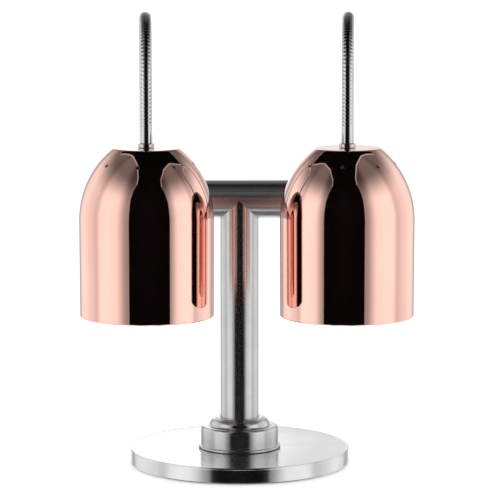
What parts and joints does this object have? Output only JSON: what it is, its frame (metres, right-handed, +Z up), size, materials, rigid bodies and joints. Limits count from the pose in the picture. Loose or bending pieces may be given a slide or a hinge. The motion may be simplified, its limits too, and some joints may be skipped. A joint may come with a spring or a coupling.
{
  "type": "heat lamp warmer",
  "caption": "Free-standing food warmer with paired polished copper bell shades on flexible chrome necks, a tubular T stand and a weighted round foot.",
  "frame": {"origin": "centre of the round resting face under the foot", "axes": "+Z up along the post, +X along the crossbar to the right seen from the front, -Y towards the front where the shades hang"},
  "size_m": [0.425, 0.391, 0.605],
  "materials": {
    "copper": "spun shade, polished copper plating",
    "neck_chrome": "bright chrome on flexible ribbed tube, nuts and ferrules",
    "collar_chrome": "turned and polished stainless steel",
    "tube_steel": "polished stainless tube with fine grain along it",
    "base_steel": "polished stainless disc with fine circular brushing",
    "zinc_steel": "zinc plated hardware",
    "cast_iron": "raw casting",
    "rubber": "matt rubber sheet",
    "black_plastic": "moulded nylon",
    "rocker_plastic": "glossy moulded rocker",
    "wire_sleeve": "glass fibre sleeve",
    "porcelain": "glazed porcelain",
    "brass": "plain brass",
    "bulb_glass": "frosted reflector lamp glass"
  },
  "bodies": {
    "stand": {"rubber_pad": "rubber", "bottom_plate": "zinc_steel", "base_weight": "cast_iron", "base_cover": "base_steel", "clamp_bolt": "zinc_steel", "clamp_washer": "zinc_steel", "post_collar": "collar_chrome", "lock_ring": "collar_chrome", "gland_body": "black_plastic", "gland_cap": "black_plastic", "gland_locknut": "black_plastic", "post_tube": "tube_steel", "post_foot_plug": "zinc_steel", "crossbar_tube": "tube_steel", "terminal_block": "porcelain", "supply_wire": "wire_sleeve", "left_end_cap": "tube_steel", "left_switch_body": "black_plastic", "left_neck_socket": "neck_chrome", "left_neck_nut": "zinc_steel", "right_end_cap": "tube_steel", "right_switch_body": "black_plastic", "right_neck_socket": "neck_chrome", "right_neck_nut": "zinc_steel"},
    "left_rocker": {"left_switch_rocker": "rocker_plastic"},
    "left_neck_leg": {"left_lower_ferrule": "neck_chrome", "left_neck_rear": "neck_chrome"},
    "left_neck_bow": {"left_neck_arch": "neck_chrome"},
    "left_lamp": {"left_neck_front": "neck_chrome", "left_upper_ferrule": "neck_chrome", "left_shade_nut": "neck_chrome", "left_shade": "copper", "left_stem": "brass", "left_holder_nut": "zinc_steel", "left_socket_cup": "zinc_steel", "left_porcelain_socket": "porcelain", "left_screw_shell": "brass", "left_centre_contact": "brass", "left_bulb_cap": "brass", "left_bulb_glass": "bulb_glass"},
    "right_rocker": {"right_switch_rocker": "rocker_plastic"},
    "right_neck_leg": {"right_lower_ferrule": "neck_chrome", "right_neck_rear": "neck_chrome"},
    "right_neck_bow": {"right_neck_arch": "neck_chrome"},
    "right_lamp": {"right_neck_front": "neck_chrome", "right_upper_ferrule": "neck_chrome", "right_shade_nut": "neck_chrome", "right_shade": "copper", "right_stem": "brass", "right_holder_nut": "zinc_steel", "right_socket_cup": "zinc_steel", "right_porcelain_socket": "porcelain", "right_screw_shell": "brass", "right_centre_contact": "brass", "right_bulb_cap": "brass", "right_bulb_glass": "bulb_glass"}
  },
  "joints": [
    {"name": "left_neck_swing", "type": "hinge", "parent": "stand", "child": "left_neck_leg", "pos_m": [-0.1235, 0, 0.4], "axis": [0, 0, 1], "range_deg": [-25, 6]},
    {"name": "left_neck_bend", "type": "hinge", "parent": "left_neck_leg", "child": "left_neck_bow", "pos_m": [-0.1235, 0, 0.5], "axis": [1, 0, 0], "range_deg": [-22, 7]},
    {"name": "left_lamp_tilt", "type": "hinge", "parent": "left_neck_bow", "child": "left_lamp", "pos_m": [-0.117, -0.16, 0.5], "axis": [1, 0, 0], "range_deg": [-28, 7]},
    {"name": "left_switch", "type": "hinge", "parent": "stand", "child": "left_rocker", "pos_m": [-0.1588, 0, 0.354], "axis": [0, 1, 0], "range_deg": [0, 16]},
    {"name": "right_neck_swing", "type": "hinge", "parent": "stand", "child": "right_neck_leg", "pos_m": [0.1425, 0, 0.4], "axis": [0, 0, 1], "range_deg": [-6, 25]},
    {"name": "right_neck_bend", "type": "hinge", "parent": "right_neck_leg", "child": "right_neck_bow", "pos_m": [0.1425, 0, 0.5], "axis": [1, 0, 0], "range_deg": [-22, 7]},
    {"name": "right_lamp_tilt", "type": "hinge", "parent": "right_neck_bow", "child": "right_lamp", "pos_m": [0.137, -0.16, 0.5], "axis": [1, 0, 0], "range_deg": [-28, 7]},
    {"name": "right_switch", "type": "hinge", "parent": "stand", "child": "right_rocker", "pos_m": [0.1778, 0, 0.354], "axis": [0, -1, 0], "range_deg": [0, 16]}
  ]
}
